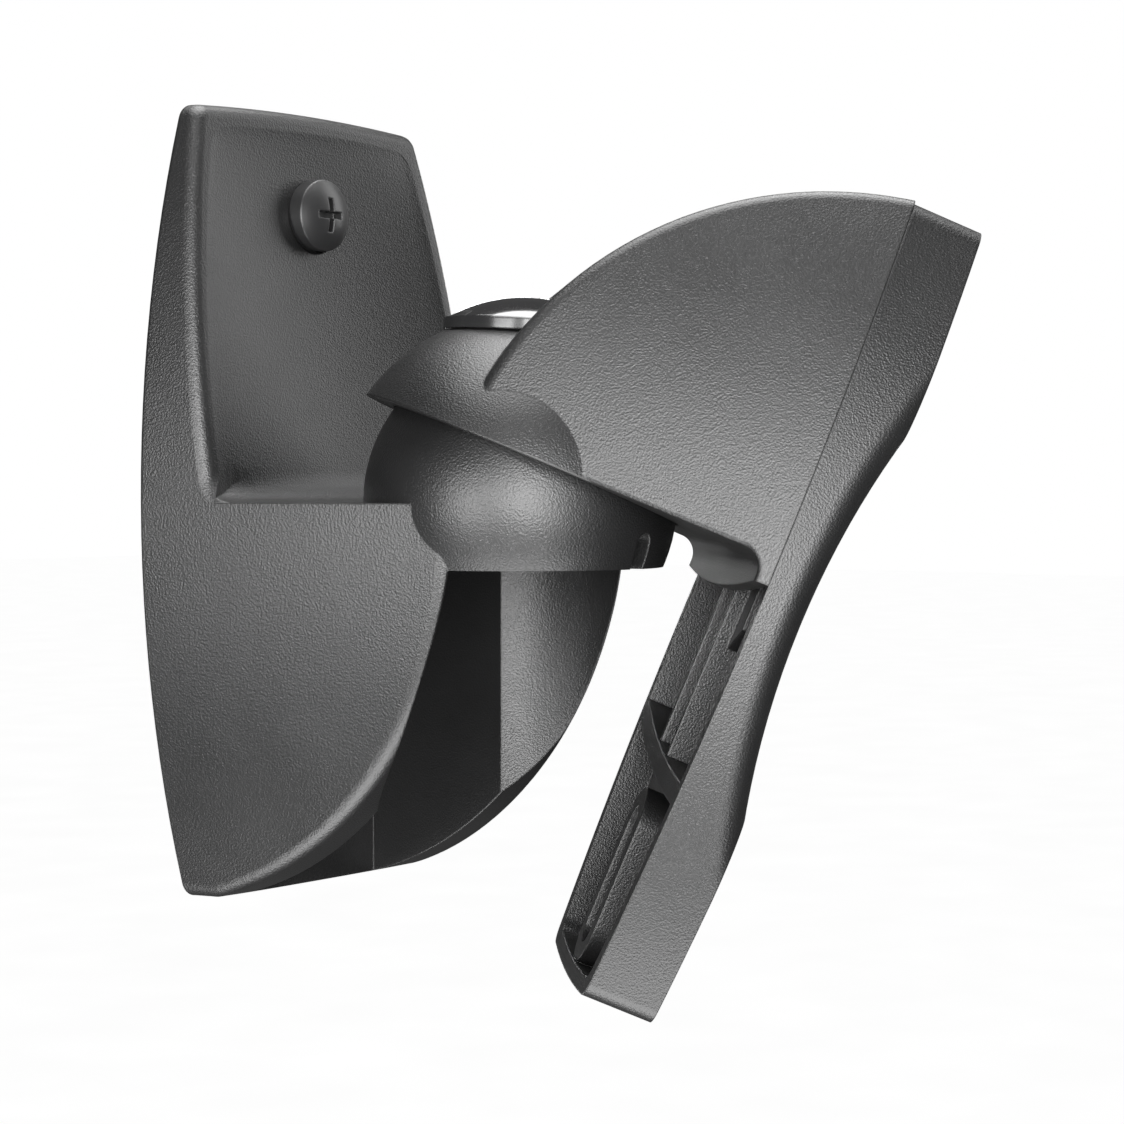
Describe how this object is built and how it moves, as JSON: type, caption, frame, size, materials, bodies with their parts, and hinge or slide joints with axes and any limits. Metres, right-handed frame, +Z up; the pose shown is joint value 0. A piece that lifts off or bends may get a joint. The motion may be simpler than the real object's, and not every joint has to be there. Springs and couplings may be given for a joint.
{
  "type": "speaker wall bracket",
  "caption": "Speaker wall bracket: a waisted wall base with a hollow ball, and a capped arm with a ribbed speaker plate that swivels and tilts on it, held by a domed clamp bolt.",
  "frame": {"origin": "middle of the pair of wall screws, on the wall plane, at the height of the ball centre", "axes": "+X to the right as seen from the room, +Y into the wall, +Z up"},
  "size_m": [0.0937, 0.1238, 0.1333],
  "materials": {
    "moulding": "fine leather grain",
    "dark_screw": "satin black",
    "gloss_dome": "gloss black",
    "collar": "satin black",
    "inner_steel": "zinc plated"
  },
  "bodies": {
    "wall": {"wall_base": "moulding", "wall_screws": "dark_screw"},
    "clamp": {"clamp_bolt": "gloss_dome", "saddle_washer": "collar", "clamp_shoe": "inner_steel", "clamp_nut": "inner_steel"},
    "speaker_arm": {"speaker_head": "moulding", "speaker_plate": "moulding", "plate_screws": "dark_screw"}
  },
  "joints": [
    {"name": "swivel", "type": "hinge", "parent": "wall", "child": "clamp", "pos_m": [0, -0.044, 0], "axis": [0, 0, 1], "range_deg": [-85.16, 0.84]},
    {"name": "tilt", "type": "hinge", "parent": "clamp", "child": "speaker_arm", "pos_m": [0, -0.044, 0], "axis": [0.7413, 0.6712, 0], "range_deg": [-32.85, 0.85]}
  ]
}
